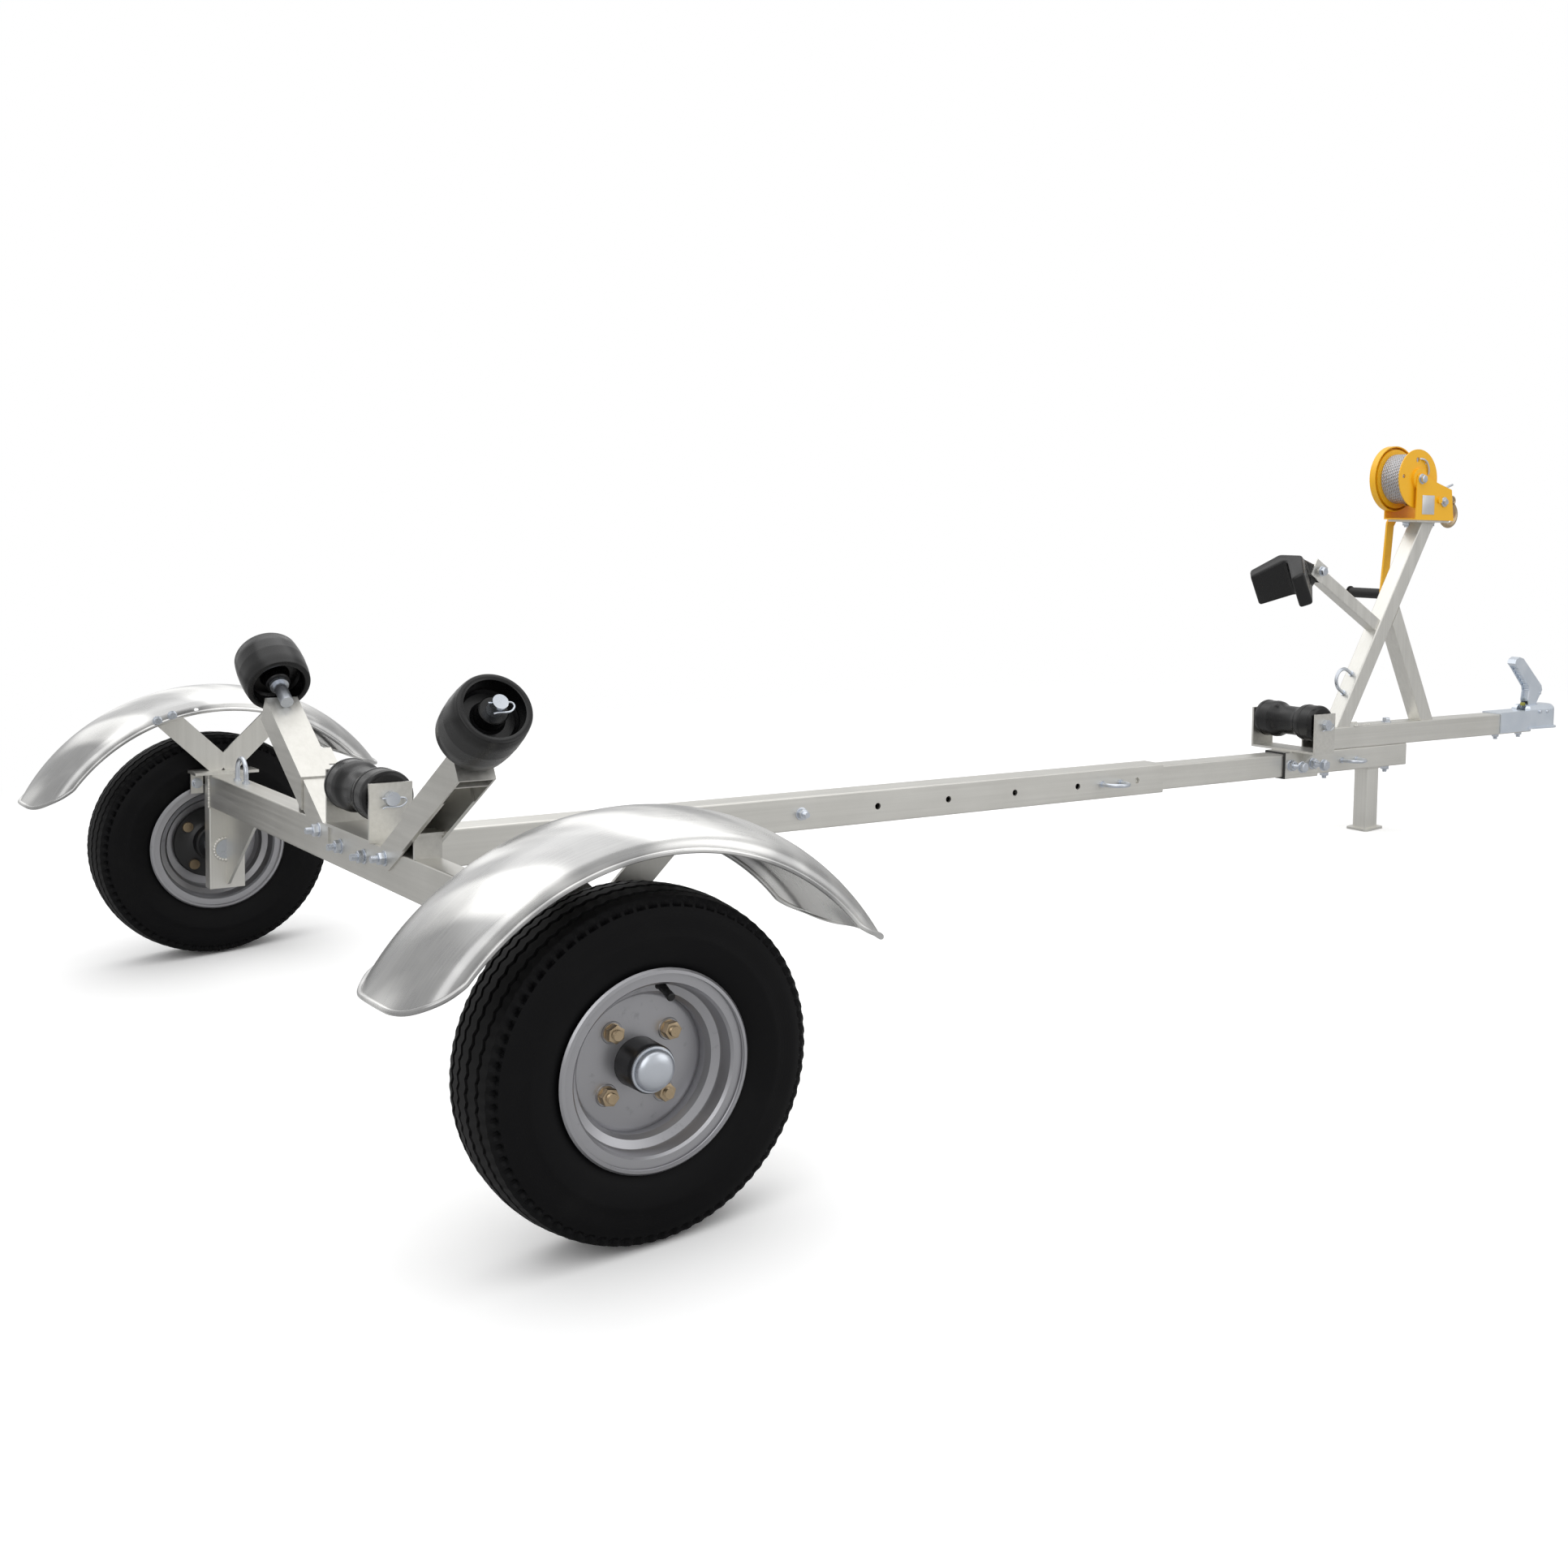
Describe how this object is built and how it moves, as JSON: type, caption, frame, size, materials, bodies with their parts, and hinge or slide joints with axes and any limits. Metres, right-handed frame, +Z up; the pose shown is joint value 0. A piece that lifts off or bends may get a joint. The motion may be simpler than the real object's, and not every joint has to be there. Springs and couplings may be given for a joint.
{
  "type": "boat trailer",
  "caption": "Single-axle trailer for a small boat, with a telescoping drawbar, keel and side rollers, a bow stop, a hand winch and a ball coupling, parked on its front leg.",
  "frame": {"origin": "centre of the bounding box at floor level, where the tyres and the foot of the leg stand", "axes": "+X forward to the coupling, +Y left, +Z up"},
  "size_m": [3.3231, 1.894, 0.8769],
  "materials": {
    "galvanised": "galvanised, satin",
    "zinc": "bright zinc plate",
    "guard": "polished satin",
    "rim_paint": "silver paint",
    "hub_paint": "black satin paint",
    "tyre": "black, matt",
    "rubber": "black, satin",
    "winch_paint": "yellow-orange paint",
    "grip": "black",
    "cable": "galvanised wire rope",
    "hook": "yellow-passivated steel"
  },
  "bodies": {
    "chassis": {"crossbeam": "galvanised", "uprights": "galvanised", "stub_axles": "zinc", "arm_cleats": "galvanised", "rear_keel_bracket": "galvanised", "front_keel_bracket": "galvanised", "drawbar_outer": "galvanised", "drawbar_inner": "galvanised", "drawbar_upper": "galvanised", "clamp_sleeve": "galvanised", "stand_leg": "galvanised", "winch_post": "galvanised", "winch_brace": "galvanised", "bow_arm": "galvanised", "winch_mount": "zinc", "winch_frame": "winch_paint", "winch_cover": "winch_paint", "winch_hook": "hook", "coupling_body": "zinc", "lashing_rings": "zinc", "roller_pins": "zinc", "mudguard_left": "guard", "mudguard_bracket_left": "galvanised", "arm_saddle_left": "galvanised", "arm_channel_left": "galvanised", "mudguard_right": "guard", "mudguard_bracket_right": "galvanised", "arm_saddle_right": "galvanised", "arm_channel_right": "galvanised"},
    "wheel_left": {"tyre_left": "tyre", "rim_left": "rim_paint", "hub_left": "hub_paint"},
    "wheel_right": {"tyre_right": "tyre", "rim_right": "rim_paint", "hub_right": "hub_paint"},
    "keel_roller_rear": {"rear_keel_roller": "rubber"},
    "keel_roller_front": {"front_keel_roller": "rubber"},
    "bilge_roller_left": {"side_roller_left": "rubber"},
    "bilge_roller_right": {"side_roller_right": "rubber"},
    "drum": {"winch_drum": "winch_paint", "winch_cable": "cable"},
    "crank": {"winch_crank": "winch_paint", "crank_grip": "grip"},
    "bow_rest": {"bow_stop": "rubber"},
    "latch_lever": {"coupling_lever": "zinc"}
  },
  "joints": [
    {"name": "wheel_left_spin", "type": "hinge", "parent": "chassis", "child": "wheel_left", "pos_m": [-1.34865, 0.85, 0.205], "axis": [0, 1, 0], "continuous": true},
    {"name": "wheel_right_spin", "type": "hinge", "parent": "chassis", "child": "wheel_right", "pos_m": [-1.34865, -0.85, 0.205], "axis": [0, 1, 0], "continuous": true},
    {"name": "keel_roller_rear_spin", "type": "hinge", "parent": "chassis", "child": "keel_roller_rear", "pos_m": [-1.33973, 0, 0.40934], "axis": [0, 1, 0], "continuous": true},
    {"name": "keel_roller_front_spin", "type": "hinge", "parent": "chassis", "child": "keel_roller_front", "pos_m": [0.70217, 0, 0.27984], "axis": [0, 1, 0], "continuous": true},
    {"name": "bilge_roller_left_spin", "type": "hinge", "parent": "chassis", "child": "bilge_roller_left", "pos_m": [-1.33452, 0.44114, 0.55498], "axis": [0.033, 0.8526, 0.5215], "continuous": true},
    {"name": "bilge_roller_right_spin", "type": "hinge", "parent": "chassis", "child": "bilge_roller_right", "pos_m": [-1.33452, -0.44114, 0.55498], "axis": [0.033, -0.8526, 0.5215], "continuous": true},
    {"name": "crank_spin", "type": "hinge", "parent": "chassis", "child": "crank", "pos_m": [1.15574, 0, 0.74961], "axis": [0, 1, 0], "continuous": true},
    {"name": "drum_spin", "type": "hinge", "parent": "chassis", "child": "drum", "pos_m": [1.09386, 0, 0.80094], "axis": [0, 1, 0], "continuous": true},
    {"name": "bow_rest_tilt", "type": "hinge", "parent": "chassis", "child": "bow_rest", "pos_m": [0.76772, 0, 0.60816], "axis": [0, 1, 0], "range_deg": [-5, 15]},
    {"name": "latch_lever_lift", "type": "hinge", "parent": "chassis", "child": "latch_lever", "pos_m": [1.57491, 0, 0.2164], "axis": [0, 1, 0], "range_deg": [-10, 0]}
  ],
  "couplings": [
    {"joint": "drum_spin", "follows": "crank_spin", "ratio": -0.17647}
  ]
}
